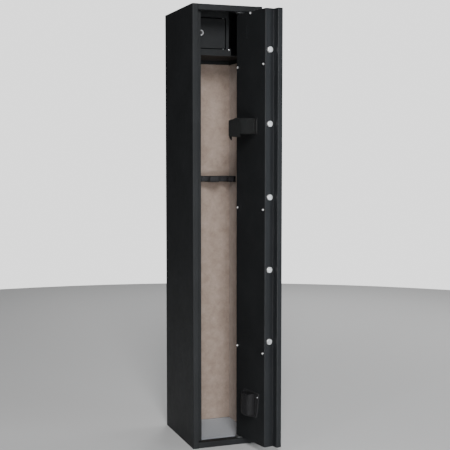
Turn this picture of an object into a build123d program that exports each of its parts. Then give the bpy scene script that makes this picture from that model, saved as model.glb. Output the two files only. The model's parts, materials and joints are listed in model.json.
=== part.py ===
"""Steel gun safe, door open: folded body, hung door with five locking bolts, fittings.

Every piece is drawn in the corner frame, whose origin is the front left bottom corner of
the closed safe: +X to the right, +Y to the back, +Z up, millimetres. Door pieces are drawn
with the door shut and turned by DOOR_OPEN about the hinge axis. The last step shifts all
pieces so that the origin is at the centre of the underside of the base.
"""
import os
from math import cos, hypot, radians, sin

from build123d import *

# ---- body -------------------------------------------------------------------------------
WIDTH, DEPTH, HEIGHT = 250.0, 315.0, 1500.0
SHEET = 2.5  # body sheet thickness
FRAME = 20.5  # width of the front face round the doorway
HINGE_FLANGE_X = 231.0  # inner edge of the front face on the hinge side
SILL_DEPTH = 24.0  # top and bottom folds run this far back
STRIKE_X, STRIKE_Y = 36.0, 20.0  # inner edge and front face of the ledge behind which bolts lock
SIDE_BEND, TOP_BEND = 3.0, 1.5  # centre-line bend radii
LIP_GAP = 0.4  # the lip at the back of the fold stops this far from the sheet
END_FRONT = 3.0  # the roof's two ends start this far behind the front
FACE_EDGE = 2.0  # rounding of the front face beside the doorway
ANCHOR_R, ANCHOR_Z = 6.0, (350.0, 1150.0)  # wall anchor holes in the back
LINING = 4.0  # fabric lining thickness
LINING_TOP = 1331.0
LINING_FRONT = 30.0  # side linings start this far behind the front
MAT_FRONT, MAT_TOP = 82.0, 8.0  # the mat ends short of the sill fold

# ---- hinge ------------------------------------------------------------------------------
HINGE_X, HINGE_Y = 204.3, 20.4
DOOR_OPEN = 101.0  # degrees
PIN_R, PIN_GAP = 6.0, 0.05
PIN_HEAD_R = 8.5
SOCKET_R, SOCKET_LENGTH = 10.0, 60.0
HINGE_PLATE = 3.0
HINGE_PLATE_X = (161.0, 228.0)
HINGE_PLATE_Y = (9.0, 32.0)
WASHER = 1.0

# ---- door (shut) ------------------------------------------------------------------------
PAN_X = (22.5, 228.0)
PAN_Z = (FRAME + HINGE_PLATE + WASHER, 1476.0)
PAN_DEPTH, PAN_FACE, PAN_WALL = 19.0, 3.0, 2.5
PAN_BEND, BOX_BEND = 2.8, 2.2  # outer bend radii
BOX_FOOT, BOX_FOOT_SHEET, BOX_FOOT_BEND = 5.0, 1.0, 1.2  # fold along the foot of the bolt box
BOX_X = (45.8, 221.8)
BOX_Z = (25.5, 1475.0)
BOX_BACK = 52.5  # back of the bolt box, where the cover lies
COVER = 1.5
COVER_Y = BOX_BACK + COVER  # inner face of the shut door
NUT_ROWS_Z = (342.7, 821.0, 1295.5)
NUT_COLUMNS_X = (BOX_X[0] + 8.5, BOX_X[1] - 8.5)
NUT_TOP = (BOX_X[0] + 88.0, 1468.5)

# ---- bolt work --------------------------------------------------------------------------
BOLT_R, BOLT_Y = 10.0, 35.6
BOLT_Z = (382.0, 622.0, 862.0, 1102.0, 1342.0)
BOLT_PROUD = 5.0  # bolt ends stand out this far when withdrawn
BOLT_END_X = 108.0
BUSH_R, BUSH_BORE = 12.0, 10.3
THROW = 20.0
BAR_X = (84.0, 124.0)
BAR_Z = (350.0, 1374.0)
BAR_Y = (BOLT_Y, BOLT_Y + 4.0)
POST_X, POST_Z = 94.0, (502.0, 982.0, 1222.0)
POST_R, POST_NECK_R = 6.0, 4.0

# ---- handle and its crank ---------------------------------------------------------------
HANDLE_X, HANDLE_Z = 118.0, 760.0
SPINDLE_R = 6.0
GRIP_LENGTH, GRIP_WIDTH, GRIP_DEPTH, GRIP_EDGE = 58.0, 17.0, 15.0, 5.0
GRIP_Y, BOSS_R = -31.5, 13.0  # middle of the grip; the boss joins it to the rose
CRANK_R = THROW / 2 ** 0.5  # pin circle: a quarter turn moves the pin by THROW
CRANK_Y = (26.0, 31.0)
CRANK_PIN_R, CRANK_SLOT_HALF = 4.0, 4.7

# ---- key lock ---------------------------------------------------------------------------
KEY_X, KEY_Z = 150.0, 840.0
LOCK_THROW = 10.0
FOLLOWER_Y = (26.0, 31.0)
FOLLOWER_R = LOCK_THROW / 2 ** 0.5
LOCK_CASE_X, LOCK_CASE_Y, LOCK_CASE_Z = (134.0, 178.0), (14.0, 44.0), (818.0, 880.0)
LOCK_BOLT_X = (152.0, 164.0)
LOCK_BOLT_Y = (33.0, 42.0)
LOCK_BOLT_TOP = 884.0
BLOCKING_STRIP_Z = (885.0, 915.0)

# ---- shelf and locker -------------------------------------------------------------------
SHELF_Z, SHELF_SHEET = 1344.0, 2.0
LOCKER_Y, LOCKER_SHEET = 125.0, 1.5  # front plane of the locker
LOCKER_X = (SHEET, 174.0)
LOCKER_Z = (SHELF_Z + SHELF_SHEET, 1497.0)
LOCKER_BACK = 306.0
OPENING_X, OPENING_Z = (37.0, 164.0), (1366.0, 1474.0)
FLAP_X, FLAP_Z, FLAP_DEPTH = (40.0, 161.0), (1369.0, 1470.5), 10.0
FLAP_AXIS = (155.5, 130.5)
FLAP_PIN_R = 2.5
CAM_X, CAM_Z = 71.5, 1420.5
CAM_LENGTH = 44.0

# ---- barrel rest ------------------------------------------------------------------------
REST_Z, REST_PLATE, REST_PAD_TOP = 902.0, 2.0, 923.0
REST_FRONT = 234.0
NOTCH_X, NOTCH_R, NOTCH_DEPTH = (54.0, 125.0, 196.0), 18.0, 28.0

# ---- soft fittings on the door ----------------------------------------------------------
STRAP_X, STRAP_Z, STRAP_OUT = (96.8, 182.8), (1060.0, 1120.0), 62.0
STRAP_BAND, STRAP_CORNER = 3.0, 24.0  # thickness, and radius of the loop's corners
STRAP_TAB_X, STRAP_TAB = 89.8, 1.5  # a flat tab starts here, before the loop
POUCH_X, POUCH_Z, POUCH_OUT = (96.0, 153.0), (123.0, 199.0), 30.0
POUCH_WALL, POUCH_BACK, POUCH_SLANT = 2.5, 2.0, 16.0  # pocket wall, back panel, mouth's slope
POUCH_FLANGE_TOP, POUCH_FLANGE_LOW = 19.0, 3.0  # the back panel stands out this far beside the pocket
POUCH_FLANGE_Z = (115.0, 200.0)
POUCH_RIVET_X, POUCH_RIVET_Z = 38.5, 187.0  # either side of the middle, and height

INSIDE_X = (SHEET, WIDTH - SHEET)
INSIDE_BACK = DEPTH - SHEET
LINING_BACK = INSIDE_BACK - LINING


def block(x, y, z):
    """A box from three (low, high) pairs."""
    size = [b - a for a, b in (x, y, z)]
    middle = [(a + b) / 2 for a, b in (x, y, z)]
    return Pos(*middle) * Box(*size)


def rod_y(x, z, r, y0, y1):
    """A round bar along Y."""
    return Pos(x, (y0 + y1) / 2, z) * Rot(90, 0, 0) * Cylinder(r, y1 - y0)


def rod_x(y, z, r, x0, x1):
    """A round bar along X."""
    return Pos((x0 + x1) / 2, y, z) * Rot(0, 90, 0) * Cylinder(r, x1 - x0)


def rod_z(x, y, r, z0, z1):
    """A round bar along Z."""
    return Pos(x, y, (z0 + z1) / 2) * Cylinder(r, z1 - z0)


def folded_upright(points, bend, z0, z1, sheet=SHEET):
    """Sheet folded along a plan centre line and standing from z0 to z1."""
    return Pos(0, 0, z0) * extrude(trace(FilletPolyline(*points, radius=bend), sheet), z1 - z0)


def dome(r, height):
    """A shallow domed head standing on the XY plane."""
    ball = (r * r + height * height) / (2 * height)
    return Pos(0, 0, height - ball) * Sphere(ball) & Pos(0, 0, height / 2) * Cylinder(r, height)


def facing_back(x, y, z):
    """Places a piece drawn along +Z so that it stands towards +Y."""
    return Pos(x, y, z) * Rot(-90, 0, 0)


def facing_front(x, y, z):
    """Places a piece drawn along +Z so that it stands towards -Y."""
    return Pos(x, y, z) * Rot(90, 0, 0)


# ---- body shell -------------------------------------------------------------------------
def eased_doorway_edge(panel, x):
    """Rounds the edge of a front face beside the doorway."""
    edges = panel.edges().filter_by(Axis.Z).group_by(Axis.Y)[0]
    return fillet(edges.sort_by(lambda edge: abs(edge.center().X - x))[0], FACE_EDGE)


def left_side_panel():
    mid = SHEET / 2
    panel = folded_upright([(mid, DEPTH), (mid, mid), (FRAME, mid)], SIDE_BEND, 0, HEIGHT)
    return eased_doorway_edge(panel, FRAME)


def right_side_panel():
    mid = WIDTH - SHEET / 2
    line = [(mid, DEPTH), (mid, SHEET / 2), (HINGE_FLANGE_X, SHEET / 2)]
    panel = folded_upright(line, SIDE_BEND, 0, HEIGHT)
    return eased_doorway_edge(panel, HINGE_FLANGE_X)


def strike_rail():
    mid = SHEET / 2
    line = [(FRAME - mid, SHEET), (FRAME - mid, STRIKE_Y + mid), (STRIKE_X, STRIKE_Y + mid)]
    return folded_upright(line, TOP_BEND + 1, FRAME, HEIGHT - FRAME)


def top_panel():
    """Roof, front face, fold under the face and closing lip, cut to fit inside the side panels."""
    mid = SHEET / 2
    line = [
        (INSIDE_BACK, HEIGHT - mid),
        (mid, HEIGHT - mid),
        (mid, HEIGHT - FRAME + mid),
        (SILL_DEPTH - mid, HEIGHT - FRAME + mid),
        (SILL_DEPTH - mid, HEIGHT - SHEET - LIP_GAP),
    ]
    section = Plane.YZ * trace(FilletPolyline(*line, radius=TOP_BEND), SHEET)
    panel = Pos(SHEET, 0, 0) * extrude(section, WIDTH - 2 * SHEET)
    height = (HEIGHT - FRAME - 1, HEIGHT + 1)
    for x in ((0, FRAME), (HINGE_FLANGE_X, WIDTH)):
        panel -= block(x, (-1, END_FRONT), height)
    ends = (SHEET, WIDTH - SHEET)
    corners = [
        edge
        for edge in panel.edges().filter_by(Axis.Z)
        if abs(edge.center().Y - END_FRONT) < 0.01 and min(abs(edge.center().X - x) for x in ends) < 0.01
    ]
    return fillet(corners, SIDE_BEND - SHEET / 2)


def base_panel():
    """The roof's mirror image."""
    return mirror(top_panel(), Plane.XY.offset(HEIGHT / 2))


def back_panel():
    panel = block(INSIDE_X, (INSIDE_BACK, DEPTH), (0, HEIGHT))
    for z in ANCHOR_Z:
        panel -= rod_y(WIDTH / 2, z, ANCHOR_R, INSIDE_BACK - 1, DEPTH + 1)
    return panel


# ---- hinge fittings on the body ---------------------------------------------------------
PLATE_SCREW_X = (176.0, 190.0)


def hinge_plate(z0):
    """Flat bar with one round end, on the fold below or above the door."""
    middle_y = sum(HINGE_PLATE_Y) / 2
    half = (HINGE_PLATE_Y[1] - HINGE_PLATE_Y[0]) / 2
    z1 = z0 + HINGE_PLATE
    bar = block((HINGE_PLATE_X[0] + half, HINGE_PLATE_X[1]), HINGE_PLATE_Y, (z0, z1))
    bar += rod_z(HINGE_PLATE_X[0] + half, middle_y, half, z0, z1)
    bar -= rod_z(HINGE_X, HINGE_Y, PIN_R + PIN_GAP, z0 - 1, z1 + 1)
    for x in PLATE_SCREW_X:
        bar -= rod_z(x, 16.0, 2.6, z0 - 1, z1 + 1)
    return bar


def flipped(piece):
    """The same piece at the other end of the doorway."""
    return mirror(piece, Plane.XY.offset(HEIGHT / 2))


def fold_with_holes(panel):
    """Cuts the pin, pin head and screw holes through a panel's fold."""
    low, high = FRAME - SHEET - 1, FRAME + 1
    panel -= rod_z(HINGE_X, HINGE_Y, PIN_R + PIN_GAP, low, high)
    panel -= rod_z(HINGE_X, HINGE_Y, PIN_HEAD_R + 0.3, FRAME - SHEET - 5, FRAME - SHEET)
    for x in PLATE_SCREW_X:
        panel -= rod_z(x, 16.0, 2.6, low, high)
    return panel


def hinge_plate_screws():
    """Countersunk screws, flush with the plates."""
    top = FRAME + HINGE_PLATE
    screws = []
    for x in PLATE_SCREW_X:
        screw = rod_z(x, 16.0, 2.5, top - 9.0, top - 0.2)
        screw -= block((x - 2.2, x + 2.2), (15.6, 16.4), (top - 0.9, top + 1))
        screws += [screw, flipped(screw)]
    return screws


def hinge_pin():
    """Lower pin: head under the fold, stem through the plate, chamfered top."""
    stem = rod_z(HINGE_X, HINGE_Y, PIN_R, FRAME - SHEET, FRAME + HINGE_PLATE + 38.0)
    stem = chamfer(stem.edges().sort_by(Axis.Z)[-1], 1.5)
    return stem + rod_z(HINGE_X, HINGE_Y, PIN_HEAD_R, FRAME - SHEET - 4.0, FRAME - SHEET)


def thrust_washer():
    low = FRAME + HINGE_PLATE
    ring = rod_z(HINGE_X, HINGE_Y, 9.5, low, low + WASHER)
    return ring - rod_z(HINGE_X, HINGE_Y, PIN_R + 0.1, low - 1, low + WASHER + 1)


# ---- linings, shelf, locker, barrel rest ------------------------------------------------
def back_lining():
    sheet = block(INSIDE_X, (LINING_BACK, INSIDE_BACK), (MAT_TOP, LINING_TOP))
    for z in ANCHOR_Z:
        sheet -= rod_y(WIDTH / 2, z, ANCHOR_R + 3.0, LINING_BACK - 1, INSIDE_BACK + 1)
    return sheet


def side_lining(x0):
    return block((x0, x0 + LINING), (LINING_FRONT, LINING_BACK), (MAT_TOP, LINING_TOP))


def floor_mat():
    across = (INSIDE_X[0] + 0.5, INSIDE_X[1] - 0.5)
    return block(across, (MAT_FRONT, INSIDE_BACK - 0.5), (SHEET, MAT_TOP))


def shelf():
    """Plate with a flange turned down at the back and at both sides."""
    front = LOCKER_Y + LOCKER_SHEET
    outer = block(INSIDE_X, (front, INSIDE_BACK), (LINING_TOP, SHELF_Z + SHELF_SHEET))
    hollow_x = (INSIDE_X[0] + SHELF_SHEET, INSIDE_X[1] - SHELF_SHEET)
    return outer - block(hollow_x, (front - 1, INSIDE_BACK - SHELF_SHEET), (0, SHELF_Z))


def locker_case():
    """Sheet box open at the front."""
    front = LOCKER_Y + LOCKER_SHEET
    outer = block(LOCKER_X, (front, LOCKER_BACK), LOCKER_Z)
    inner = [(a + LOCKER_SHEET, b - LOCKER_SHEET) for a, b in (LOCKER_X, LOCKER_Z)]
    return outer - block(inner[0], (front - 1, LOCKER_BACK - LOCKER_SHEET), inner[1])


def locker_front_frame():
    """Front plate with the door opening, a lug at the lower right and a keeper fold."""
    y = (LOCKER_Y, LOCKER_Y + LOCKER_SHEET)
    plate = block(LOCKER_X, y, (SHELF_Z, LOCKER_Z[1]))
    plate += block((LOCKER_X[1], LOCKER_X[1] + 8.0), y, (SHELF_Z + SHELF_SHEET, OPENING_Z[0] + 4.0))
    plate -= block(OPENING_X, (y[0] - 1, y[1] + 1), OPENING_Z)
    keeper = (OPENING_X[0] - LOCKER_SHEET, OPENING_X[0])
    return plate + block(keeper, (LOCKER_Y, LOCKER_Y + 11.0), OPENING_Z)


def locker_fixing_screws():
    screws = []
    for x in (12.0, LOCKER_X[1] + 1.0):
        head = facing_front(x, LOCKER_Y, OPENING_Z[0] - 2.0) * dome(4.0, 2.6)
        screws.append(head)
    return screws


def locker_hinge_tabs():
    """Two tabs behind the upper and lower rails that carry the pivot pins."""
    x, y = (148.0, 163.0), (LOCKER_Y + LOCKER_SHEET, 138.0)
    tabs = []
    for z in ((OPENING_Z[0] - 2.0, OPENING_Z[0]), (OPENING_Z[1], OPENING_Z[1] + 2.0)):
        tabs.append(block(x, y, z) - rod_z(*FLAP_AXIS, FLAP_PIN_R + 0.05, z[0] - 1, z[1] + 1))
    return tabs


def locker_hinge_pins():
    low = rod_z(*FLAP_AXIS, FLAP_PIN_R, OPENING_Z[0] - 4.0, FLAP_Z[0] + 7.0)
    high = rod_z(*FLAP_AXIS, FLAP_PIN_R, FLAP_Z[1] - 7.0, OPENING_Z[1] + 4.0)
    return [low, high]


def locker_door():
    """Shallow tray with the lock hole and two pivot holes."""
    outer = block(FLAP_X, (LOCKER_Y, LOCKER_Y + FLAP_DEPTH), FLAP_Z)
    outer = fillet(outer.edges().filter_by(Axis.Z).group_by(Axis.Y)[0], 1.2)
    inner = [(a + LOCKER_SHEET, b - LOCKER_SHEET) for a, b in (FLAP_X, FLAP_Z)]
    tray = outer - block(inner[0], (LOCKER_Y + LOCKER_SHEET, LOCKER_Y + 20), inner[1])
    tray -= rod_z(*FLAP_AXIS, FLAP_PIN_R + PIN_GAP, FLAP_Z[0] - 1, FLAP_Z[1] + 1)
    return tray - rod_y(CAM_X, CAM_Z, 8.1, LOCKER_Y - 1, LOCKER_Y + 3)


def locker_lock_housing():
    """Threaded body with a round front flange."""
    body = rod_y(CAM_X, CAM_Z, 8.0, LOCKER_Y - 0.5, LOCKER_Y + 12.0)
    rim = rod_y(CAM_X, CAM_Z, 10.0, LOCKER_Y - 3.0, LOCKER_Y)
    rim = fillet(rim.edges().sort_by(Axis.Y)[0], 1.2)
    return body + rim - rod_y(CAM_X, CAM_Z, 6.1, LOCKER_Y - 5.0, LOCKER_Y + 13.0)


def locker_lock_nut():
    start = LOCKER_Y + LOCKER_SHEET
    hexagon = facing_back(CAM_X, start, CAM_Z) * extrude(RegularPolygon(11.5, 6), 4.0)
    return hexagon - rod_y(CAM_X, CAM_Z, 8.05, start - 1, start + 5)


def locker_lock_plug():
    """Plug with a key slot, narrowed behind to carry the cam."""
    plug = rod_y(CAM_X, CAM_Z, 6.0, LOCKER_Y - 2.4, LOCKER_Y + 12.2)
    plug += rod_y(CAM_X, CAM_Z, 3.5, LOCKER_Y + 12.0, LOCKER_Y + 16.0)
    slot_x, slot_z = (CAM_X - 1.0, CAM_X + 1.0), (CAM_Z - 4.2, CAM_Z + 4.2)
    return plug - block(slot_x, (LOCKER_Y - 3.0, LOCKER_Y + 9.0), slot_z)


def locker_lock_cam():
    """Tongue that hangs down when unlocked and turns behind the keeper fold."""
    y = (LOCKER_Y + 12.4, LOCKER_Y + 14.4)
    tongue = block((CAM_X - 6.0, CAM_X + 6.0), y, (CAM_Z - CAM_LENGTH + 6.0, CAM_Z))
    for z in (CAM_Z, CAM_Z - CAM_LENGTH + 6.0):
        tongue += rod_y(CAM_X, z, 6.0, *y)
    return tongue - rod_y(CAM_X, CAM_Z, 3.55, y[0] - 1, y[1] + 1)


def notches(z0, z1):
    """The barrel notches as cutting bodies."""
    cuts = []
    for x in NOTCH_X:
        cuts.append(rod_z(x, REST_FRONT + NOTCH_DEPTH, NOTCH_R, z0, z1))
        run = (REST_FRONT - 5, REST_FRONT + NOTCH_DEPTH)
        cuts.append(block((x - NOTCH_R, x + NOTCH_R), run, (z0, z1)))
    return cuts


REST_X = (INSIDE_X[0] + LINING, INSIDE_X[1] - LINING)


def barrel_rest_bracket():
    """Plate with barrel notches and an upturned tab at each end."""
    plate = block(REST_X, (REST_FRONT + 3.0, LINING_BACK), (REST_Z, REST_Z + REST_PLATE))
    plate -= notches(REST_Z - 1, REST_Z + REST_PLATE + 1)
    for x in ((REST_X[0], REST_X[0] + 2.0), (REST_X[1] - 2.0, REST_X[1])):
        plate += block(x, (240.0, 304.0), (REST_Z, REST_PAD_TOP))
    return plate


def barrel_rest_pad():
    """Padding on the plate, cut short of the fixing screws."""
    x = (REST_X[0] + 6.0, REST_X[1] - 6.0)
    pad = block(x, (REST_FRONT, LINING_BACK), (REST_Z + REST_PLATE, REST_PAD_TOP))
    pad = fillet(pad.edges().filter_by(Axis.X).group_by(Axis.Y)[0], 5.0)
    return pad - notches(REST_Z, REST_PAD_TOP + 1)


def barrel_rest_screws():
    z = (REST_Z + REST_PAD_TOP) / 2
    screws = []
    for y in (254.0, 290.0):
        screws.append(Pos(REST_X[0] + 2.0, y, z) * Rot(0, 90, 0) * dome(4.5, 2.6))
        screws.append(Pos(REST_X[1] - 2.0, y, z) * Rot(0, -90, 0) * dome(4.5, 2.6))
    return screws


# ---- door shell -------------------------------------------------------------------------
def socket_hole():
    return rod_z(HINGE_X, HINGE_Y, SOCKET_R, 0, HEIGHT)


def door_front_pan():
    """Front plate with deep sides and a fold behind, hollow, rounded outside."""
    pan = block(PAN_X, (0, PAN_DEPTH), PAN_Z)
    pan = fillet(pan.edges(), PAN_BEND)
    inner = [(a + PAN_WALL, b - PAN_WALL) for a, b in (PAN_X, PAN_Z)]
    pan -= block(inner[0], (PAN_FACE, PAN_DEPTH - PAN_WALL), inner[1])
    back_x = (BOX_X[0] + 7.0, BOX_X[1] - 7.0)
    pan -= block(back_x, (PAN_FACE, PAN_DEPTH + 1), (BOX_Z[0] + 15.0, BOX_Z[1] - 15.0))
    pan -= rod_y(HANDLE_X, HANDLE_Z, 8.05, -1, PAN_FACE + 1)
    pan -= rod_y(KEY_X, KEY_Z, 7.0, -1, PAN_FACE + 1)
    return pan - socket_hole()


def bolt_box_frame():
    """Four-sided box behind the pan, with a fold for the cover and five bolt holes."""
    box = block(BOX_X, (PAN_DEPTH, BOX_BACK), BOX_Z)
    box = fillet(box.edges().group_by(Axis.Y)[-1], BOX_BEND)
    foot_x = (BOX_X[0] - BOX_FOOT, BOX_X[1] + BOX_FOOT)
    foot_z = (BOX_Z[0] + BOX_FOOT, BOX_Z[1] - BOX_FOOT)
    box += block(foot_x, (PAN_DEPTH, PAN_DEPTH + BOX_FOOT_SHEET), foot_z)
    for x in BOX_X:
        hollow = [
            edge
            for edge in box.edges().filter_by(Axis.Z)
            if abs(edge.center().X - x) < 0.01 and abs(edge.center().Y - PAN_DEPTH - BOX_FOOT_SHEET) < 0.01
        ]
        box = fillet(hollow, BOX_FOOT_BEND)
    inner = [(a + SHEET, b - SHEET) for a, b in (BOX_X, BOX_Z)]
    box -= block(inner[0], (PAN_DEPTH - 1, BOX_BACK - SHEET), inner[1])
    window = [(a + 17.0, b - 17.0) for a, b in (BOX_X, BOX_Z)]
    box -= block(window[0], (PAN_DEPTH, BOX_BACK + 1), window[1])
    for z in BOLT_Z:
        box -= rod_x(BOLT_Y, z, BUSH_R + 0.05, BOX_X[0] - 1, BOX_X[0] + SHEET + 1)
    for x, z in nut_places():
        box -= rod_y(x, z, 2.55, BOX_BACK - SHEET - 1, BOX_BACK + 1)
    return box - socket_hole()


def nut_places():
    places = [(x, z) for x in NUT_COLUMNS_X for z in NUT_ROWS_Z]
    return places + [NUT_TOP]


def inner_cover():
    x, z = [(a + 1.0, b - 1.0) for a, b in (BOX_X, BOX_Z)]
    plate = block(x, (BOX_BACK, COVER_Y), z)
    plate = fillet(plate.edges().filter_by(Axis.Y), 3.0)
    for x, z in nut_places():
        plate -= rod_y(x, z, 2.55, BOX_BACK - 1, COVER_Y + 1)
    return plate


def cover_studs():
    """Studs welded behind the fold, one under each cap nut."""
    low = BOX_BACK - SHEET
    studs = []
    for x, z in nut_places():
        stud = rod_y(x, z, 2.5, low - 2.0, COVER_Y + 2.0)
        studs.append(stud + rod_y(x, z, 4.0, low - 2.5, low))
    return studs


def cap_nut():
    """Hexagon with a domed cap, bored for its stud."""
    nut = extrude(RegularPolygon(4.6, 6), 2.4)
    nut += Pos(0, 0, 2.4) * Cylinder(3.6, 1.2, align=(Align.CENTER, Align.CENTER, Align.MIN))
    nut += Pos(0, 0, 3.5) * dome(3.6, 2.1)
    return nut - Pos(0, 0, 1.0) * Cylinder(2.55, 2.4)


def cover_cap_nuts():
    return [facing_back(x, COVER_Y, z) * cap_nut() for x, z in nut_places()]


def blanking_plate():
    x = (BOX_X[0] + 111.0, BOX_X[0] + 145.0)
    plate = block(x, (COVER_Y, COVER_Y + 0.8), (1390.0, 1432.0))
    return fillet(plate.edges().filter_by(Axis.Y), 2.0)


def hinge_socket(z0, z1):
    tube = rod_z(HINGE_X, HINGE_Y, SOCKET_R, z0, z1)
    return tube - rod_z(HINGE_X, HINGE_Y, PIN_R + PIN_GAP, z0 - 1, z1 + 1)


# ---- bolt work --------------------------------------------------------------------------
def bolt_guide_bushes():
    start = BOX_X[0]
    bushes = []
    for z in BOLT_Z:
        bush = rod_x(BOLT_Y, z, BUSH_R, start, start + 9.0)
        bush += rod_x(BOLT_Y, z, BUSH_R + 2.0, start + SHEET, start + SHEET + 2.0)
        bushes.append(bush - rod_x(BOLT_Y, z, BUSH_BORE, start - 1, start + 10))
    return bushes


def locking_bolts():
    """Round bolts, chamfered in front and milled half away where they sit on the bar."""
    tip = BOX_X[0] - BOLT_PROUD
    bolts = []
    for z in BOLT_Z:
        bolt = rod_x(BOLT_Y, z, BOLT_R, tip, BOLT_END_X)
        bolt = chamfer(bolt.edges().sort_by(Axis.X)[0], 1.2)
        cut = block((BAR_X[0] - 1.0, BOLT_END_X + 1), (BOLT_Y, BOLT_Y + 12), (z - 12, z + 12))
        bolts.append(bolt - cut)
    return bolts


def bolt_bar():
    """Flat bar that joins the bolts: guide slots, crank slot and the notched blocking strip."""
    bar = block(BAR_X, BAR_Y, BAR_Z)
    crank_x = HANDLE_X + THROW / 2
    bar += block((BAR_X[0], crank_x + 14.0), BAR_Y, (HANDLE_Z - 5.0, HANDLE_Z + 32.0))
    bar += block((BAR_X[0], 192.0), BAR_Y, BLOCKING_STRIP_Z)
    cut_y = (BAR_Y[0] - 1, BAR_Y[1] + 1)
    pin_low, pin_high = HANDLE_Z + THROW / 2, HANDLE_Z + CRANK_R
    slot_z = (pin_low - CRANK_SLOT_HALF, pin_high + CRANK_SLOT_HALF)
    bar -= block((crank_x - CRANK_SLOT_HALF, crank_x + CRANK_SLOT_HALF), cut_y, slot_z)
    for z in POST_Z:
        half = POST_NECK_R + 0.4
        bar -= block((POST_X, POST_X + THROW), cut_y, (z - half, z + half))
        bar -= rod_y(POST_X, z, half, *cut_y)
        bar -= rod_y(POST_X + THROW, z, half, *cut_y)
    middle = sum(LOCK_BOLT_X) / 2
    low = BLOCKING_STRIP_Z[0]
    for x in (middle, middle + THROW):
        bar -= block((x - 6.5, x + 6.5), cut_y, (low - 1, low + LOCK_THROW + 1.5))
    return bar


def bolt_bar_screws():
    """One pan-head screw behind each bolt."""
    screws = []
    for z in BOLT_Z:
        screws.append(facing_back(BAR_X[0] + 12.0, BAR_Y[1], z) * dome(5.0, 3.2))
    return screws


def bar_guide_posts():
    """Posts on the front plate, necked where the bar slides."""
    posts = []
    for z in POST_Z:
        post = rod_y(POST_X, z, POST_R, PAN_FACE, BAR_Y[0] - 0.4)
        posts.append(post + rod_y(POST_X, z, POST_NECK_R, BAR_Y[0] - 1, BAR_Y[1] + 5.0))
    return posts


def bar_guide_nuts():
    """Flanged nut on each post, just clear of the bar."""
    start = BAR_Y[1] + 0.4
    nuts = []
    for z in POST_Z:
        nut = rod_y(POST_X, z, 8.0, start, start + 1.2)
        nut += facing_back(POST_X, start + 1.2, z) * extrude(RegularPolygon(6.9, 6), 4.0)
        nuts.append(nut - rod_y(POST_X, z, POST_NECK_R + 0.05, start - 1, start + 6))
    return nuts


# ---- handle -----------------------------------------------------------------------------
def hard_plate():
    """Drill-resistant plate behind the handle and the lock."""
    plate = block((104.0, 186.0), (PAN_FACE, PAN_FACE + 5.0), (735.0, 900.0))
    plate -= rod_y(HANDLE_X, HANDLE_Z, 8.05, 0, 10)
    return plate - rod_y(KEY_X, KEY_Z, 7.0, 0, 10)


def spindle_bush():
    bush = rod_y(HANDLE_X, HANDLE_Z, 8.0, 0, PAN_FACE + 5.0)
    return bush - rod_y(HANDLE_X, HANDLE_Z, SPINDLE_R + 0.06, -1, PAN_FACE + 6.0)


def handle_rose():
    rose = rod_y(HANDLE_X, HANDLE_Z, 25.0, -6.0, 0)
    rose = fillet(rose.edges().sort_by(Axis.Y)[0], 2.5)
    return rose - rod_y(HANDLE_X, HANDLE_Z, SPINDLE_R + 0.4, -7, 1)


def handle_knob():
    """Oval grip on a round boss, all edges rounded."""
    half = GRIP_DEPTH / 2
    grip = extrude(SlotOverall(GRIP_LENGTH, GRIP_WIDTH), half, both=True)
    grip = fillet(grip.edges(), GRIP_EDGE)
    grip = facing_front(HANDLE_X, GRIP_Y, HANDLE_Z) * grip
    boss = rod_y(HANDLE_X, HANDLE_Z, BOSS_R, GRIP_Y, -6.5)
    boss = fillet(boss.edges().sort_by(Axis.Y)[-1], 1.5)
    return grip + boss - rod_y(HANDLE_X, HANDLE_Z, SPINDLE_R, -24.0, -5.0)


def handle_spindle():
    return rod_y(HANDLE_X, HANDLE_Z, SPINDLE_R, -24.0, CRANK_Y[0])


def retaining_ring():
    start = PAN_FACE + 5.5
    ring = rod_y(HANDLE_X, HANDLE_Z, 10.0, start, start + 1.2)
    return ring - rod_y(HANDLE_X, HANDLE_Z, SPINDLE_R, start - 1, start + 2)


def bolt_crank():
    """Arm and pin that push the bar: the pin starts half a throw to the right."""
    x, z = HANDLE_X + THROW / 2, HANDLE_Z + THROW / 2
    arm = rod_y(HANDLE_X, HANDLE_Z, 10.0, *CRANK_Y)
    arm += rod_y(x, z, 7.0, *CRANK_Y)
    link = Pos(HANDLE_X + THROW / 4, sum(CRANK_Y) / 2, HANDLE_Z + THROW / 4)
    arm += link * Rot(0, -45, 0) * Box(CRANK_R, CRANK_Y[1] - CRANK_Y[0], 12.0)
    return arm + rod_y(x, z, CRANK_PIN_R, CRANK_Y[0], BAR_Y[1] + 2.0)


# ---- key lock ---------------------------------------------------------------------------
def key_escutcheon():
    plate = rod_y(KEY_X, KEY_Z, 15.0, -3.0, 0)
    plate = fillet(plate.edges().sort_by(Axis.Y)[0], 1.5)
    return plate - rod_y(KEY_X, KEY_Z, 7.0, -4, 1)


LOCK_SCREWS = [(x, z) for x in (138.5, 173.5) for z in (822.5, 875.5)]


def lock_case():
    """Shallow box with the key hole in front and the bolt's way out above."""
    wall = 2.0
    case = block(LOCK_CASE_X, LOCK_CASE_Y, LOCK_CASE_Z)
    inner = [(a + wall, b - wall) for a, b in (LOCK_CASE_X, LOCK_CASE_Y, LOCK_CASE_Z)]
    case -= block(*inner)
    case -= rod_y(KEY_X, KEY_Z, 7.0, LOCK_CASE_Y[0] - 1, LOCK_CASE_Y[0] + 3)
    way = [(a - 0.3, b + 0.3) for a, b in (LOCK_BOLT_X, LOCK_BOLT_Y)]
    case -= block(way[0], way[1], (LOCK_CASE_Z[1] - 3, LOCK_CASE_Z[1] + 1))
    for x, z in LOCK_SCREWS:
        case += rod_y(x, z, 4.4, *LOCK_CASE_Y)
        case -= rod_y(x, z, 2.05, LOCK_CASE_Y[0] - 1, LOCK_CASE_Y[1] + 1)
    return case


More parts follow.
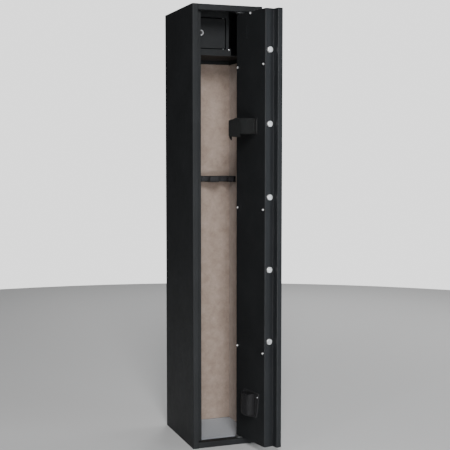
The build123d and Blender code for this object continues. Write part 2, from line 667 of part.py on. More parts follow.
def lock_spacers():
    low = PAN_FACE + 5.0
    tubes = []
    for x, z in LOCK_SCREWS:
        tube = rod_y(x, z, 4.4, low, LOCK_CASE_Y[0])
        tubes.append(tube - rod_y(x, z, 2.05, low - 1, LOCK_CASE_Y[0] + 1))
    return tubes


def lock_case_screws():
    screws = []
    for x, z in LOCK_SCREWS:
        stem = rod_y(x, z, 2.0, PAN_FACE + 5.0, LOCK_CASE_Y[1])
        screws.append(stem + facing_back(x, LOCK_CASE_Y[1], z) * dome(4.0, 2.5))
    return screws


def lock_follower():
    """Disc turned by the key, with the pin that lifts the lock bolt."""
    half = LOCK_THROW / 2
    disc = rod_y(KEY_X, KEY_Z, 11.0, *FOLLOWER_Y)
    disc -= block((KEY_X - 1.3, KEY_X + 1.3), (20.0, 40.0), (KEY_Z - 6.2, KEY_Z + 6.2))
    return disc + rod_y(KEY_X + half, KEY_Z - half, 2.0, FOLLOWER_Y[0], LOCK_BOLT_Y[1] - 1)


def lock_bolt():
    """Bar that rises out of the case, slotted for the follower's pin."""
    half = LOCK_THROW / 2
    bar = block(LOCK_BOLT_X, LOCK_BOLT_Y, (KEY_Z - 13.0, LOCK_BOLT_TOP))
    gap = 2.45
    slot_x = (KEY_X + half - gap - 2.0, KEY_X + FOLLOWER_R + gap)
    slot_z = (KEY_Z - half - gap, KEY_Z - half + gap)
    return bar - block(slot_x, (LOCK_BOLT_Y[0] - 1, LOCK_BOLT_Y[1] + 1), slot_z)


def key():
    """Flat double-bitted blade on a round stem, with an oval bow."""
    blade = block((KEY_X - 1.0, KEY_X + 1.0), (12.0, FOLLOWER_Y[1] - 1.0), (KEY_Z - 5.8, KEY_Z + 5.8))
    for step in range(3):
        y = 14.0 + 4.0 * step
        for side in (-1, 1):
            blade -= Pos(KEY_X, y, KEY_Z + side * 5.8) * Box(4.0, 2.0, 2.0 + 0.8 * step)
    stem = rod_y(KEY_X, KEY_Z, 3.0, -24.0, 13.0)
    bow = Pos(KEY_X, -34.0, KEY_Z) * Rot(0, 90, 0) * extrude(Ellipse(13.0, 11.0), 1.5, both=True)
    eye = Pos(KEY_X, -35.0, KEY_Z) * Rot(0, 90, 0) * Cylinder(4.5, 8.0)
    return blade + stem + bow - eye


# ---- soft fittings ----------------------------------------------------------------------
def gun_strap():
    """Closed loop of webbing on the cover, with a flat tab beside it."""
    x, y = sum(STRAP_X) / 2, COVER_Y + STRAP_OUT / 2
    width, height = STRAP_X[1] - STRAP_X[0], STRAP_Z[1] - STRAP_Z[0]
    outer = RectangleRounded(width, STRAP_OUT, STRAP_CORNER)
    inner = RectangleRounded(
        width - 2 * STRAP_BAND, STRAP_OUT - 2 * STRAP_BAND, STRAP_CORNER - STRAP_BAND
    )
    loop = Pos(x, y, STRAP_Z[0]) * extrude(outer - inner, height)
    return loop + block((STRAP_TAB_X, x), (COVER_Y, COVER_Y + STRAP_TAB), STRAP_Z)


def strap_rivets():
    x, z = sum(STRAP_X) / 2, sum(STRAP_Z) / 2
    head = facing_back(x, COVER_Y + STRAP_BAND, z) * dome(4.0, 1.8)
    return [Pos(side * 12.0, 0, 0) * head for side in (-1, 1)]


def muzzle_pouch():
    """Open pocket on a back panel whose sides lean in towards the bottom."""
    x, half = sum(POUCH_X) / 2, (POUCH_X[1] - POUCH_X[0]) / 2
    half_plane = Pos(0, 50.0) * Rectangle(200.0, 100.0)
    outer = Ellipse(half, POUCH_OUT) & half_plane
    inner = Ellipse(half - POUCH_WALL, POUCH_OUT - POUCH_WALL) & half_plane
    height = POUCH_Z[1] - POUCH_Z[0]
    tub = extrude(outer, height) - Pos(0, 0, POUCH_WALL) * extrude(inner, height)
    tub = Pos(x, COVER_Y, POUCH_Z[0]) * tub
    mouth = Pos(x, COVER_Y, POUCH_Z[1]) * Rot(-POUCH_SLANT, 0, 0) * Pos(0, 60, 30) * Box(200, 130, 60)
    top, low = half + POUCH_FLANGE_TOP, half + POUCH_FLANGE_LOW
    z0, z1 = POUCH_FLANGE_Z
    outline = Polyline((x - top, z1), (x - low, z0), (x + low, z0), (x + top, z1), close=True)
    panel = Plane.XZ * make_face(outline)
    panel = Pos(0, COVER_Y, 0) * extrude(panel, -POUCH_BACK)
    panel = fillet(panel.edges().filter_by(Axis.Y), 5.0)
    return tub - mouth + panel


def pouch_rivets():
    middle = sum(POUCH_X) / 2
    head = facing_back(middle, COVER_Y + POUCH_BACK, POUCH_RIVET_Z) * dome(3.6, 2.2)
    return [Pos(side * POUCH_RIVET_X, 0, 0) * head for side in (-1, 1)]


# ---- assembly ---------------------------------------------------------------------------
UPPER_SOCKET = (PAN_Z[1] - SOCKET_LENGTH, PAN_Z[1])
LOWER_SOCKET = (PAN_Z[0], PAN_Z[0] + SOCKET_LENGTH)

BODY_PIECES = {
    "left_side_panel": left_side_panel(),
    "right_side_panel": right_side_panel(),
    "strike_rail": strike_rail(),
    "top_panel": flipped(fold_with_holes(base_panel())),
    "base_panel": fold_with_holes(base_panel()),
    "back_panel": back_panel(),
    "hinge_plates": [hinge_plate(FRAME), flipped(hinge_plate(FRAME))],
    "hinge_plate_screws": hinge_plate_screws(),
    "hinge_pins": [hinge_pin(), flipped(hinge_pin())],
    "hinge_thrust_washer": thrust_washer(),
    "back_lining": back_lining(),
    "left_lining": side_lining(INSIDE_X[0]),
    "right_lining": side_lining(INSIDE_X[1] - LINING),
    "floor_mat": floor_mat(),
    "shelf": shelf(),
    "locker_case": locker_case(),
    "locker_front_frame": locker_front_frame(),
    "locker_fixing_screws": locker_fixing_screws(),
    "locker_hinge_tabs": locker_hinge_tabs(),
    "locker_hinge_pins": locker_hinge_pins(),
    "locker_door": locker_door(),
    "locker_lock_housing": locker_lock_housing(),
    "locker_lock_nut": locker_lock_nut(),
    "locker_lock_plug": locker_lock_plug(),
    "locker_lock_cam": locker_lock_cam(),
    "barrel_rest_bracket": barrel_rest_bracket(),
    "barrel_rest_pad": barrel_rest_pad(),
    "barrel_rest_screws": barrel_rest_screws(),
}

DOOR_PIECES = {
    "door_front_pan": door_front_pan(),
    "bolt_box_frame": bolt_box_frame(),
    "inner_cover": inner_cover(),
    "cover_studs": cover_studs(),
    "cover_cap_nuts": cover_cap_nuts(),
    "blanking_plate": blanking_plate(),
    "hinge_sockets": [hinge_socket(*LOWER_SOCKET), hinge_socket(*UPPER_SOCKET)],
    "bolt_guide_bushes": bolt_guide_bushes(),
    "locking_bolts": locking_bolts(),
    "bolt_bar": bolt_bar(),
    "bolt_bar_screws": bolt_bar_screws(),
    "bar_guide_posts": bar_guide_posts(),
    "bar_guide_nuts": bar_guide_nuts(),
    "hard_plate": hard_plate(),
    "spindle_bush": spindle_bush(),
    "handle_rose": handle_rose(),
    "handle_knob": handle_knob(),
    "handle_spindle": handle_spindle(),
    "spindle_retaining_ring": retaining_ring(),
    "bolt_crank": bolt_crank(),
    "key_escutcheon": key_escutcheon(),
    "lock_case": lock_case(),
    "lock_spacers": lock_spacers(),
    "lock_case_screws": lock_case_screws(),
    "lock_follower": lock_follower(),
    "lock_bolt": lock_bolt(),
    "key": key(),
    "gun_strap": gun_strap(),
    "muzzle_pouch": muzzle_pouch(),
    "strap_rivets": strap_rivets(),
    "pouch_rivets": pouch_rivets(),
}


def joined(pieces):
    """One solid as it is, several as a compound of separate solids."""
    if isinstance(pieces, list):
        return Compound([solid for piece in pieces for solid in piece.solids()])
    return pieces


def main():
    os.makedirs("parts", exist_ok=True)
    to_base_centre = Pos(-WIDTH / 2, -DEPTH / 2, 0)
    hinge = Axis((HINGE_X, HINGE_Y, 0), (0, 0, 1))
    for name, pieces in BODY_PIECES.items():
        export_step(to_base_centre * joined(pieces), f"parts/{name}.step")
    for name, pieces in DOOR_PIECES.items():
        swung = joined(pieces).rotate(hinge, DOOR_OPEN)
        export_step(to_base_centre * swung, f"parts/{name}.step")


main()
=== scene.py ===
"""Looks of the gun safe: finishes for every steel piece, and detailed soft pieces."""
import json
import math

import bmesh
import bpy
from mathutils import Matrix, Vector, noise
from mathutils.geometry import delaunay_2d_cdt


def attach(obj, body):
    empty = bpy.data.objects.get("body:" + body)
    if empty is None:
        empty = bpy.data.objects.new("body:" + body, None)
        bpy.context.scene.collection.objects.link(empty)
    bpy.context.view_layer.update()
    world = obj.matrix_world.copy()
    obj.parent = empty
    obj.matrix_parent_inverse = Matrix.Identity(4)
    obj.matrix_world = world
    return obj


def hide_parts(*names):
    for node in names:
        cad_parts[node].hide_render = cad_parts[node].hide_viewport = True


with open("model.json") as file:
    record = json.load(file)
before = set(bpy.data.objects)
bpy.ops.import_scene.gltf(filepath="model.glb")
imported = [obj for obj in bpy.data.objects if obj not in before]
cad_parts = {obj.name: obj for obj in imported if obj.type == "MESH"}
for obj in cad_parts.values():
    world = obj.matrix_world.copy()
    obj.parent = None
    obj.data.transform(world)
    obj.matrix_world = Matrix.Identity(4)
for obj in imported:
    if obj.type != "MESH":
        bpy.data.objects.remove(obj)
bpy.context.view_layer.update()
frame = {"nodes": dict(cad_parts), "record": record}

MM = 0.001
NODES = frame["nodes"]


# ---- camera, floor and light ------------------------------------------------------------
CAMERA_PLACE = Vector((-1.1181, -3.2010, 1.0072))
CAMERA_YAW, CAMERA_PITCH = 20.0, 4.3  # degrees: to the right of straight on, and down
CAMERA_LENS = 76.66
BACKDROP_SEEN, BACKDROP_LIT = 1.8, 0.07  # strength shown to the camera, and that lights the scene
FLOOR_RADIUS, FLOOR_CORNERS = 4.0, 96  # the lights reach this far, so it is pale from every side
FLOOR_GREY = 0.55
LIGHTS = [  # name, place, target, size, watts, colour
    ("key", (-1.1, -4.1, 3.0), (0.0, 0.0, 0.8), (1.2, 1.4), 210.0, (1.0, 1.0, 1.0)),
    ("front_fill", (-1.3, -3.9, 1.2), (0.0, 0.0, 0.9), (0.5, 0.5), 24.0, (1.0, 1.0, 1.0)),
    ("low_fill", (-0.45, -2.3, 0.28), (0.0, 0.1, 0.25), (0.7, 0.3), 24.0, (1.0, 1.0, 1.0)),
    ("left_front", (-2.9, -2.4, 1.7), (0.0, 0.0, 1.1), (0.16, 2.2), 20.0, (1.0, 1.0, 1.0)),
    ("right_front", (2.9, -3.2, 1.1), (0.0, 0.0, 0.8), (1.0, 2.0), 38.0, (0.85, 0.94, 1.0)),
    ("right", (3.4, 0.6, 1.6), (0.0, 0.0, 0.8), (1.5, 2.2), 40.0, (1.0, 1.0, 1.0)),
    ("back", (8.5, 11.0, 6.0), (8.5, 11.0, 0.0), (12.0, 12.0), 1100.0, (1.0, 1.0, 1.0)),
    ("back_right", (1.6, 3.2, 2.2), (0.0, 0.0, 0.8), (1.6, 1.6), 36.0, (1.0, 1.0, 1.0)),
]


def add_camera():
    data = bpy.data.cameras.new("camera")
    data.lens = CAMERA_LENS
    data.clip_start, data.clip_end = 0.05, 60.0
    camera = bpy.data.objects.new("camera", data)
    camera.location = CAMERA_PLACE
    camera.rotation_euler = (math.radians(90.0 - CAMERA_PITCH), 0.0, math.radians(-CAMERA_YAW))
    bpy.context.scene.collection.objects.link(camera)
    bpy.context.scene.camera = camera


def add_area_light(name, place, target, size, power, color):
    data = bpy.data.lights.new(name, "AREA")
    data.shape = "RECTANGLE"
    data.size, data.size_y = size
    data.energy = power
    data.color = color
    light = bpy.data.objects.new(name, data)
    light.location = place
    light.rotation_euler = (Vector(target) - Vector(place)).to_track_quat("-Z", "Y").to_euler()
    bpy.context.scene.collection.objects.link(light)


def add_world():
    """White to the camera, a dimmer soft grey to everything that it lights."""
    world = bpy.data.worlds.new("studio")
    bpy.context.scene.world = world
    world.use_nodes = True
    nodes, links = world.node_tree.nodes, world.node_tree.links
    nodes.clear()
    seen, lit = nodes.new("ShaderNodeBackground"), nodes.new("ShaderNodeBackground")
    seen.inputs["Color"].default_value = (1.0, 1.0, 1.0, 1.0)
    seen.inputs["Strength"].default_value = BACKDROP_SEEN
    lit.inputs["Color"].default_value = (0.95, 0.97, 1.0, 1.0)
    lit.inputs["Strength"].default_value = BACKDROP_LIT
    path, mix = nodes.new("ShaderNodeLightPath"), nodes.new("ShaderNodeMixShader")
    output = nodes.new("ShaderNodeOutputWorld")
    links.new(path.outputs["Is Camera Ray"], mix.inputs["Fac"])
    links.new(lit.outputs["Background"], mix.inputs[1])
    links.new(seen.outputs["Background"], mix.inputs[2])
    links.new(mix.outputs["Shader"], output.inputs["Surface"])


def add_stage():
    mesh = bpy.data.meshes.new("floor")
    turns = [math.tau * k / FLOOR_CORNERS for k in range(FLOOR_CORNERS)]
    rim = [(FLOOR_RADIUS * math.cos(a), FLOOR_RADIUS * math.sin(a), 0.0) for a in turns]
    mesh.from_pydata(rim, [], [tuple(range(FLOOR_CORNERS))])
    floor = bpy.data.objects.new("floor", mesh)
    bpy.context.scene.collection.objects.link(floor)
    mat = bpy.data.materials.new("pale_floor")
    mat.use_nodes = True
    shader = mat.node_tree.nodes["Principled BSDF"]
    shader.inputs["Base Color"].default_value = (FLOOR_GREY, FLOOR_GREY, FLOOR_GREY, 1.0)
    shader.inputs["Roughness"].default_value = 0.9
    mesh.materials.append(mat)


def add_lights():
    for light in LIGHTS:
        add_area_light(*light)


# ---- materials --------------------------------------------------------------------------
class Finish:
    """A material under construction: keeps its node tree at hand."""

    def __init__(self, name, color, roughness, metallic=0.0, specular=0.5):
        self.material = bpy.data.materials.new(name)
        self.material.use_nodes = True
        self.nodes = self.material.node_tree.nodes
        self.links = self.material.node_tree.links
        self.shader = self.nodes["Principled BSDF"]
        self.set("Base Color", (*color, 1.0))
        self.set("Roughness", roughness)
        self.set("Metallic", metallic)
        self.set("Specular IOR Level", specular)
        self.coordinates = self.nodes.new("ShaderNodeTexCoord")
        self.height = None

    def set(self, socket, value):
        self.shader.inputs[socket].default_value = value

    def place(self, scale=(1.0, 1.0, 1.0), source="Object"):
        """Texture coordinates, stretched by scale along each axis."""
        mapping = self.nodes.new("ShaderNodeMapping")
        mapping.inputs["Scale"].default_value = scale
        self.links.new(self.coordinates.outputs[source], mapping.inputs["Vector"])
        return mapping.outputs["Vector"]

    def noise(self, scale, detail=3.0, stretch=(1.0, 1.0, 1.0), rough=0.55):
        texture = self.nodes.new("ShaderNodeTexNoise")
        texture.inputs["Scale"].default_value = scale
        texture.inputs["Detail"].default_value = detail
        texture.inputs["Roughness"].default_value = rough
        self.links.new(self.place(stretch), texture.inputs["Vector"])
        return texture.outputs["Fac"]

    def cells(self, scale):
        texture = self.nodes.new("ShaderNodeTexVoronoi")
        texture.inputs["Scale"].default_value = scale
        self.links.new(self.place(), texture.inputs["Vector"])
        return texture.outputs["Distance"]

    def wave(self, scale, axis):
        texture = self.nodes.new("ShaderNodeTexWave")
        texture.wave_type = "BANDS"
        texture.bands_direction = axis
        texture.wave_profile = "SIN"
        texture.inputs["Scale"].default_value = scale
        texture.inputs["Distortion"].default_value = 0.0
        texture.inputs["Detail"].default_value = 1.0
        self.links.new(self.place(source="UV"), texture.inputs["Vector"])
        return texture.outputs["Fac"]

    def math(self, operation, a, b):
        node = self.nodes.new("ShaderNodeMath")
        node.operation = operation
        for socket, value in zip(node.inputs, (a, b)):
            if isinstance(value, (int, float)):
                socket.default_value = value
            else:
                self.links.new(value, socket)
        return node.outputs["Value"]

    def ramp(self, value, stops):
        """Maps a 0..1 value through (position, colour) stops."""
        node = self.nodes.new("ShaderNodeValToRGB")
        elements = node.color_ramp.elements
        while len(elements) < len(stops):
            elements.new(0.5)
        for element, (position, color) in zip(elements, stops):
            element.position = position
            element.color = (*color, 1.0)
        self.links.new(value, node.inputs["Fac"])
        return node.outputs["Color"]

    def color_from(self, output):
        self.links.new(output, self.shader.inputs["Base Color"])

    def roughness_from(self, value, low, high):
        node = self.nodes.new("ShaderNodeMapRange")
        node.inputs["To Min"].default_value = low
        node.inputs["To Max"].default_value = high
        self.links.new(value, node.inputs["Value"])
        self.links.new(node.outputs["Result"], self.shader.inputs["Roughness"])

    def bump(self, value, distance, strength=1.0):
        """Adds one more layer of relief, distance in metres, over those already there."""
        node = self.nodes.new("ShaderNodeBump")
        node.inputs["Strength"].default_value = strength
        node.inputs["Distance"].default_value = distance
        self.links.new(value, node.inputs["Height"])
        if self.height is not None:
            self.links.new(self.height, node.inputs["Normal"])
        self.height = node.outputs["Normal"]
        self.links.new(self.height, self.shader.inputs["Normal"])


def powder_coat(name, tint, roughness, grain, specular=0.16):
    """Black powder coat: fine sand texture, faint orange peel, slight change of sheen."""
    finish = Finish(name, tint, roughness, specular=specular)
    patches = finish.noise(6.0, 4.0)
    dark, light = [tuple(c * k for c in tint) for k in (0.82, 1.2)]
    finish.color_from(finish.ramp(patches, [(0.3, dark), (0.7, light)]))
    finish.roughness_from(finish.noise(38.0, 5.0), roughness - 0.06, roughness + 0.07)
    finish.bump(finish.noise(260.0, 2.0), 0.00018, 0.5)
    finish.bump(finish.cells(1500.0), grain, 0.7)
    return finish.material


def turned_chrome(name, color=(0.80, 0.81, 0.83), roughness=0.20):
    finish = Finish(name, color, roughness, metallic=1.0)
    finish.roughness_from(finish.noise(420.0, 3.0), roughness - 0.05, roughness + 0.1)
    finish.bump(finish.noise(900.0, 2.0), 0.00003, 0.4)
    return finish.material


def plated_steel(name, color, roughness, metallic=1.0):
    """Zinc-plated or plain steel with faint cloudy patches and rolling marks."""
    finish = Finish(name, color, roughness, metallic=metallic)
    cloud = finish.noise(55.0, 4.0)
    dark, light = [tuple(c * k for c in color) for k in (0.75, 1.12)]
    finish.color_from(finish.ramp(cloud, [(0.3, dark), (0.72, light)]))
    marks = finish.noise(300.0, 2.0, stretch=(1.0, 1.0, 0.06))
    finish.roughness_from(marks, roughness - 0.08, roughness + 0.12)
    finish.bump(marks, 0.00004, 0.5)
    return finish.material


def black_nylon():
    finish = Finish("moulded_nylon", (0.018, 0.018, 0.019), 0.5)
    finish.roughness_from(finish.noise(120.0, 3.0), 0.42, 0.6)
    finish.bump(finish.noise(1400.0, 2.0), 0.00005, 0.5)
    return finish.material


def lining_felt():
    """Taupe needle felt: matted fibres in two directions, tufts and soft cloudy colour."""
    finish = Finish("lining_felt", (0.42, 0.36, 0.32), 0.96, specular=0.12)
    finish.set("Sheen Weight", 0.35)
    finish.set("Sheen Roughness", 0.55)
    finish.set("Sheen Tint", (0.95, 0.9, 0.86, 1.0))
    fibres = finish.math("ADD",
                         finish.noise(2600.0, 2.0, stretch=(1.0, 1.0, 0.22)),
                         finish.noise(2600.0, 2.0, stretch=(0.25, 0.25, 1.0)))
    tufts = finish.noise(420.0, 3.0, rough=0.7)
    clouds = finish.noise(26.0, 5.0, rough=0.65)
    mixed = finish.math("MULTIPLY", finish.math("ADD", fibres, tufts), 0.2)
    mixed = finish.math("ADD", mixed, finish.math("MULTIPLY", clouds, 0.4))
    finish.color_from(finish.ramp(mixed, [
        (0.34, (0.190, 0.142, 0.112)),
        (0.5, (0.290, 0.228, 0.190)),
        (0.66, (0.400, 0.326, 0.280)),
    ]))
    finish.bump(tufts, 0.0012, 0.55)
    finish.bump(fibres, 0.0004, 0.6)
    return finish.material


def mat_carpet():
    """Light grey cut pile."""
    finish = Finish("mat_carpet", (0.40, 0.42, 0.46), 0.97, specular=0.1)
    finish.set("Sheen Weight", 0.3)
    finish.set("Sheen Roughness", 0.6)
    tufts = finish.cells(620.0)
    shade = finish.math("ADD", finish.math("MULTIPLY", tufts, 0.8), finish.noise(240.0, 3.0))
    finish.color_from(finish.ramp(finish.math("MULTIPLY", shade, 0.6), [
        (0.25, (0.37, 0.39, 0.43)), (0.6, (0.245, 0.26, 0.29))]))
    finish.bump(finish.noise(900.0, 3.0), 0.001, 0.6)
    finish.bump(tufts, 0.0012, 0.6)
    return finish.material


def woven_webbing():
    """Black ribbed webbing; its UV is in metres, U across and V along."""
    finish = Finish("webbing", (0.006, 0.006, 0.007), 0.82, specular=0.2)
    finish.set("Sheen Weight", 0.03)
    finish.set("Sheen Roughness", 0.5)
    ribs = finish.wave(520.0, "X")
    picks = finish.wave(380.0, "Y")
    weave = finish.math("MULTIPLY", ribs, finish.math("ADD", picks, 0.35))
    dark, light = (0.003, 0.0034, 0.0035), (0.0095, 0.0105, 0.0108)
    finish.color_from(finish.ramp(weave, [(0.1, dark), (0.9, light)]))
    finish.bump(weave, 0.0004, 0.8)
    finish.bump(finish.noise(5000.0, 2.0), 0.0001, 0.5)
    return finish.material


def coated_nylon():
    """Pouch fabric: plain weave under a thin coat; UV in metres."""
    finish = Finish("pouch_fabric", (0.012, 0.0115, 0.013), 0.62, specular=0.3)
    finish.set("Sheen Weight", 0.03)
    weave = finish.math("MULTIPLY", finish.wave(260.0, "X"), finish.wave(260.0, "Y"))
    dark, light = (0.0030, 0.0030, 0.0038), (0.0066, 0.0065, 0.0080)
    finish.color_from(finish.ramp(weave, [(0.1, dark), (0.9, light)]))
    finish.roughness_from(finish.noise(70.0, 3.0), 0.52, 0.72)
    finish.bump(finish.noise(55.0, 2.0), 0.0012, 0.5)
    finish.bump(weave, 0.0003, 0.7)
    return finish.material


def rest_foam():
    finish = Finish("rest_foam", (0.022, 0.022, 0.024), 0.88, specular=0.25)
    pores = finish.cells(1700.0)
    dark, light = (0.008, 0.008, 0.009), (0.028, 0.028, 0.03)
    finish.color_from(finish.ramp(pores, [(0.05, dark), (0.5, light)]))
    finish.bump(pores, 0.0003, 0.8)
    finish.bump(finish.noise(40.0, 3.0), 0.0008, 0.4)
    return finish.material


def thread(name, color):
    finish = Finish(name, color, 0.7, specular=0.3)
    finish.bump(finish.noise(4000.0, 2.0), 0.0001, 0.6)
    return finish.material


MATERIALS = {
    "powder_coat": powder_coat("powder_coat", (0.0125, 0.0135, 0.0146), 0.56, 0.00022),
    # cover_coat is the body's powder coat made darker, as painted shade on the door's inner cover
    "cover_coat": powder_coat("cover_coat", (0.0098, 0.0106, 0.0115), 0.58, 0.00016),
    "bolt_chrome": turned_chrome("bolt_chrome"),
    "zinc_steel": plated_steel("zinc_steel", (0.60, 0.62, 0.64), 0.34),
    "bare_steel": plated_steel("bare_steel", (0.34, 0.34, 0.35), 0.42),
    "hard_steel": plated_steel("hard_steel", (0.10, 0.10, 0.105), 0.5, metallic=0.8),
    "black_nylon": black_nylon(),
    "bronze": plated_steel("bronze", (0.50, 0.34, 0.16), 0.38),
    "lining_felt": lining_felt(),
    "mat_carpet": mat_carpet(),
    "webbing": woven_webbing(),
    "pouch_fabric": coated_nylon(),
    "rest_foam": rest_foam(),
}


# pieces whose finish differs a little from the rest of their slot
DOOR_COAT = powder_coat("door_coat", (0.0105, 0.0116, 0.0132), 0.45, 0.00018, 0.26)
NODE_MATERIALS = {
    "door_front_pan": DOOR_COAT,
    "bolt_box_frame": DOOR_COAT,
    "locking_bolts": plated_steel("ground_bolt_steel", (0.86, 0.86, 0.86), 0.48),
    "cover_cap_nuts": plated_steel("bright_nut_steel", (0.90, 0.90, 0.90), 0.42),
    # hinge plates and their screws: zinc painted much darker than bare zinc, as painted shade for
    # the shadow they lie in
    "hinge_plates": plated_steel("shade_darkened_zinc", (0.16, 0.165, 0.17), 0.60),
    "hinge_plate_screws": plated_steel("shade_darkened_screw_zinc", (0.20, 0.205, 0.21), 0.55),
    "locker_lock_plug": turned_chrome("dark_plug", (0.10, 0.10, 0.105), 0.45),
    "locker_lock_housing": turned_chrome("lock_ring", (0.85, 0.86, 0.87), 0.34),
}


def finish_cad_nodes():
    """Gives every CAD node its own material, or that of its slot in the record."""
    for subpart in frame["record"]["subparts"]:
        node = subpart["node"]
        mesh = NODES[node].data
        mesh.materials.clear()
        mesh.materials.append(NODE_MATERIALS.get(node) or MATERIALS[subpart["material_slot"]])


GREY_THREAD = thread("grey_thread", (0.06, 0.06, 0.062))
DARK_THREAD = thread("dark_thread", (0.03, 0.03, 0.032))
BINDING = thread("edge_binding", (0.0075, 0.0075, 0.009))
PIPING = thread("edge_piping", (0.022, 0.022, 0.024))

# ---- places -----------------------------------------------------------------------------
# Soft pieces are drawn in millimetres from the front left bottom corner of the shut safe:
# X to the right, Y to the back, Z up. Pieces on the door are drawn with the door shut.
HALF_WIDTH, HALF_DEPTH = 125.0, 157.5
HINGE_X, HINGE_Y, DOOR_TURN = 204.3, 20.4, math.radians(101.0)
LEFT_INSIDE, RIGHT_INSIDE, BACK_INSIDE = 2.5, 247.5, 312.5
LINING, LINING_LOW, LINING_TOP, LINING_FRONT = 4.0, 8.0, 1331.0, 30.0
COVER_Y = 54.0  # inner face of the shut door
HOLE_HALF = 24.0  # half the side of the grid square round a hole


def row(x, y, z):
    return Vector(((x - HALF_WIDTH) * MM, (y - HALF_DEPTH) * MM, z * MM))


def on_door(x, y, z):
    """A point drawn on the shut door, where it lies with the door open."""
    dx, dy = x - HINGE_X, y - HINGE_Y
    across, into = math.cos(DOOR_TURN), math.sin(DOOR_TURN)
    return row(HINGE_X + dx * across - dy * into, HINGE_Y + dx * into + dy * across, z)


OFF_COVER = (on_door(0, 1, 0) - on_door(0, 0, 0)).normalized()  # square to the inner cover


# ---- mesh tools -------------------------------------------------------------------------
def add_piece(name, verts, faces, slot, body, stands_for=(), uv=None, material=None):
    """A new mesh piece; uv gives one pair for each vertex."""
    mesh = bpy.data.meshes.new(name)
    mesh.from_pydata([tuple(v) for v in verts], [], faces)
    if uv:
        layer = mesh.uv_layers.new(name="UVMap")
        for loop in mesh.loops:
            layer.data[loop.index].uv = uv[loop.vertex_index]
    grid = bmesh.new()
    grid.from_mesh(mesh)
    bmesh.ops.recalc_face_normals(grid, faces=grid.faces)
    grid.to_mesh(mesh)
    grid.free()
    mesh.polygons.foreach_set("use_smooth", [True] * len(mesh.polygons))
    mesh.materials.append(material or MATERIALS[slot])
    piece = bpy.data.objects.new(name, mesh)
    bpy.context.scene.collection.objects.link(piece)
    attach(piece, body)
    if stands_for:
        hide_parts(*stands_for)
    return piece


def grid_quads(columns, rows):
    """Quads of a grid whose points run along each row in turn."""
    return [[i, i + 1, i + columns + 1, i + columns]
            for k in range(rows - 1) for i in range(k * columns, (k + 1) * columns - 1)]


def layered(points, quads, front, back):
    """Vertices and faces of a closed sheet: a front layer, a back layer and its edges."""
    count = len(points)
    verts = [front(*p) for p in points] + [back(*p) for p in points]
    faces = [tuple(q) for q in quads] + [tuple(count + i for i in reversed(q)) for q in quads]
    used = {(a, b) for q in quads for a, b in zip(q, q[1:] + q[:1])}
    for a, b in sorted(used):
        if (b, a) not in used:
            faces.append((b, a, a + count, b + count))
    return verts, faces


EDGE_LINES, EDGE_BAND = (0.0, 0.4, 1.0, 2.0, 4.0), 8.0  # finer grid near the sides


def lines(start, end, step, marks=()):
    """Grid lines, close together at both ends, that include every (low, high) mark."""
    stops = [start + EDGE_BAND] + [v for mark in marks for v in mark] + [end - EDGE_BAND]
    out = [start + e for e in EDGE_LINES]
    for low, high in zip(stops, stops[1:]):
        count = max(1, round((high - low) / step))
        out += [low + (high - low) * k / count for k in range(count)]
    return out + [end - EDGE_BAND] + [end - e for e in reversed(EDGE_LINES)]


RING_STEPS = (0.4, 0.7, 0.88, 0.96, 1.0)  # shares of the way from a hole's square to its edge


def sheet_grid(us, vs, holes=()):
    """Points (u, v, distance to the nearest edge) and quads of a rectangle with round holes.

    Each hole (u, v, radius) lies in a square of side 2 x HOLE_HALF, whose sides are grid lines.
    """
    just_in, just_out = HOLE_HALF - 0.01, HOLE_HALF + 0.01
    points, quads, index = [], [], {}

    def put(key, u, v, distance):
        if key not in index:
            index[key] = len(points)
            points.append((u, v, distance))
        return index[key]

    def inside(u, v):
        return any(max(abs(u - hu), abs(v - hv)) < just_in for hu, hv, _ in holes)

    def corner(i, j):
        u, v = us[i], vs[j]
        distance = min(u - us[0], us[-1] - u, v - vs[0], vs[-1] - v)
        return put((i, j), u, v, distance)

    for i in range(len(us) - 1):
        for j in range(len(vs) - 1):
            if not inside((us[i] + us[i + 1]) / 2, (vs[j] + vs[j + 1]) / 2):
                quads.append([corner(i, j), corner(i + 1, j),
                              corner(i + 1, j + 1), corner(i, j + 1)])
    for number, (hu, hv, radius) in enumerate(holes):
        ring = [(i, j) for i, u in enumerate(us) for j, v in enumerate(vs)
                if just_in < max(abs(u - hu), abs(v - hv)) < just_out]
        ring.sort(key=lambda ij: math.atan2(vs[ij[1]] - hv, us[ij[0]] - hu))
        outer = [corner(i, j) for i, j in ring]
        for level, share in enumerate(RING_STEPS):
            inner = []
            for k, (i, j) in enumerate(ring):
                angle = math.atan2(vs[j] - hv, us[i] - hu)
                cu, cv = hu + radius * math.cos(angle), hv + radius * math.sin(angle)
                u, v = us[i] + (cu - us[i]) * share, vs[j] + (cv - vs[j]) * share
                distance = math.hypot(u - hu, v - hv) - radius
                inner.append(put((number, "ring", level, k), u, v, distance))
            for k in range(len(ring)):
                nxt = (k + 1) % len(ring)
                quads.append([outer[k], outer[nxt], inner[nxt], inner[k]])
            outer = inner
    return points, quads


def edge_drop(distance, radius):
    """How far a rounded edge lies below the face, this far in from the side."""
    if distance >= radius:
        return 0.0
    return radius - math.sqrt(max(0.0, radius ** 2 - (radius - distance) ** 2))


def waves(x, y, size, seed):
    """Smooth noise from -1 to 1; size is its wavelength."""
    return noise.noise(Vector((x / size, y / size, seed)))


